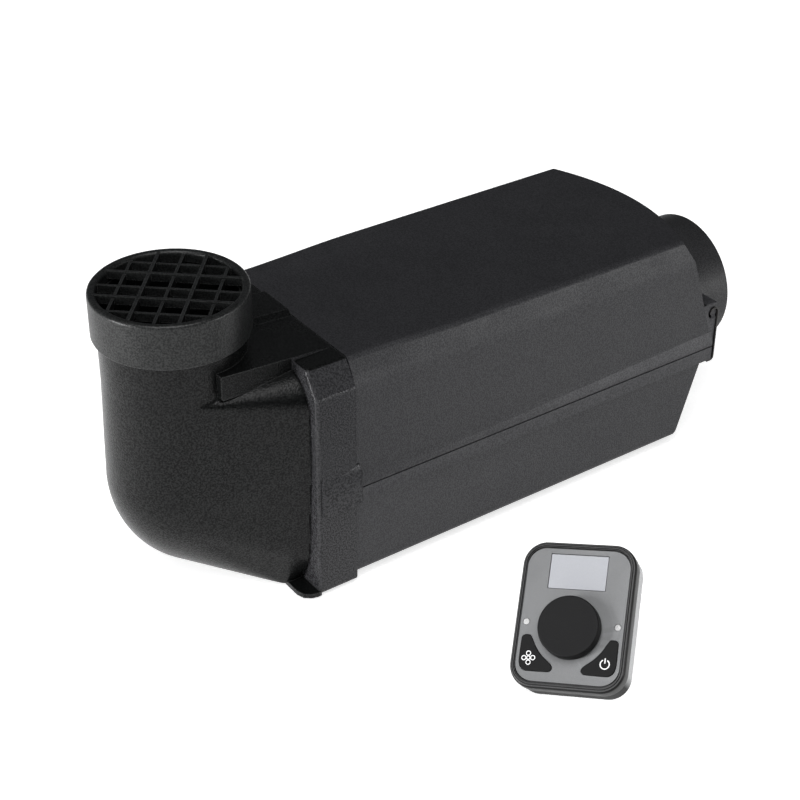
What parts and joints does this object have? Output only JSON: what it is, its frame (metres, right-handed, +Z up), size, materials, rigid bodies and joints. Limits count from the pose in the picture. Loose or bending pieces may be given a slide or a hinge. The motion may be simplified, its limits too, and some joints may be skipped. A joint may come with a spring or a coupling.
{
  "type": "diesel air heater",
  "caption": "Box-shaped vehicle air heater with an elbowed inlet under a round grille, a round warm-air outlet, spring clips, and a small control panel with a knob and two buttons.",
  "frame": {"origin": "centre of the floor flange, on the underside of its gasket, which rests on the vehicle floor", "axes": "+Z up, +Y along the heater towards the warm-air outlet, +X towards the side on which the controller stands"},
  "size_m": [0.3312, 0.4486, 0.2215],
  "materials": {
    "casing": "fine moulded grain",
    "elbow": "coarse moulded grain",
    "cap": "coarse moulded grain",
    "nozzle": "satin",
    "clip": "black spring steel",
    "cast_aluminium": "as cast",
    "steel": "bright",
    "hot_steel": "heat tinted",
    "brass": "plain",
    "rubber": "matte",
    "gasket": "fibre sheet",
    "fan_plastic": "satin",
    "lead": "insulated cable",
    "bezel": "satin black",
    "button": "matte black",
    "face": "satin silver grey",
    "grey": "light grey",
    "display": "unlit pale screen",
    "board": "solder mask",
    "lens": "clear white"
  },
  "bodies": {
    "heater": {"upper_casing": "casing", "lower_casing": "casing", "inlet_elbow": "elbow", "outlet_nozzle": "nozzle", "heat_exchanger": "cast_aluminium", "exhaust_stub": "steel", "combustion_air_stub": "cast_aluminium", "fuel_pipe": "steel", "flange_gasket": "gasket", "flange_stud_1": "steel", "flange_stud_2": "steel", "flange_stud_3": "steel", "flange_stud_4": "steel", "burner_chamber": "hot_steel", "burner_gauze": "hot_steel", "glow_plug": "brass", "blower_housing": "cast_aluminium", "blower_screw_1": "steel", "blower_screw_2": "steel", "blower_screw_3": "steel", "motor_can": "steel", "motor_end_plate": "fan_plastic", "front_bearing": "steel", "rear_bearing": "steel", "control_unit_case": "fan_plastic", "control_unit_lid": "fan_plastic", "overheat_sensor": "brass", "sensor_clip": "steel", "sensor_lead": "lead", "glow_plug_lead": "lead", "harness_lead": "lead", "harness_grommet": "rubber", "controller_bracket": "grey", "controller_back": "grey", "controller_bezel": "bezel", "controller_face_plate": "face", "display_window": "display", "display_module": "fan_plastic", "controller_board": "board", "encoder_body": "steel", "fan_switch": "fan_plastic", "power_switch": "fan_plastic", "status_lens_left": "lens", "status_lens_right": "lens", "controller_screw_1": "steel", "controller_screw_2": "steel", "controller_cable_gland": "rubber"},
    "rotor": {"motor_shaft": "steel", "motor_armature": "hot_steel", "hot_air_fan": "fan_plastic", "combustion_impeller": "fan_plastic"},
    "intake_grille": {"grille_cap": "cap"},
    "clip_right": {"casing_clip_right": "clip"},
    "clip_left": {"casing_clip_left": "clip"},
    "encoder": {"encoder_drum": "fan_plastic"},
    "knob": {"encoder_shaft": "steel", "control_knob": "bezel"},
    "fan_key": {"fan_button": "button"},
    "power_key": {"power_button": "button"}
  },
  "joints": [
    {"name": "rotor_spin", "type": "hinge", "parent": "heater", "child": "rotor", "pos_m": [0, 0, 0.0792], "axis": [0, 1, 0], "continuous": true},
    {"name": "grille_turn", "type": "hinge", "parent": "heater", "child": "intake_grille", "pos_m": [0, -0.1826, 0.19], "axis": [0, 0, 1], "continuous": true},
    {"name": "clip_right_swing", "type": "hinge", "parent": "heater", "child": "clip_right", "pos_m": [0.0638, 0.1802, 0.0956], "axis": [1, 0, 0], "range_deg": [0, 70]},
    {"name": "clip_left_swing", "type": "hinge", "parent": "heater", "child": "clip_left", "pos_m": [-0.0638, 0.1802, 0.0956], "axis": [1, 0, 0], "range_deg": [0, 70]},
    {"name": "encoder_turn", "type": "hinge", "parent": "heater", "child": "encoder", "pos_m": [0.21768, -0.06267, 0.04385], "axis": [0.2279, -0.5938, 0.7716], "continuous": true},
    {"name": "knob_press", "type": "slide", "parent": "encoder", "child": "knob", "axis": [-0.2279, 0.5938, -0.7716], "range_m": [0, 0.0007], "stiffness_N_per_m": 1500},
    {"name": "fan_button_press", "type": "slide", "parent": "heater", "child": "fan_key", "axis": [-0.2279, 0.5938, -0.7716], "range_m": [0, 0.0005], "stiffness_N_per_m": 600},
    {"name": "power_button_press", "type": "slide", "parent": "heater", "child": "power_key", "axis": [-0.2279, 0.5938, -0.7716], "range_m": [0, 0.0005], "stiffness_N_per_m": 600}
  ]
}
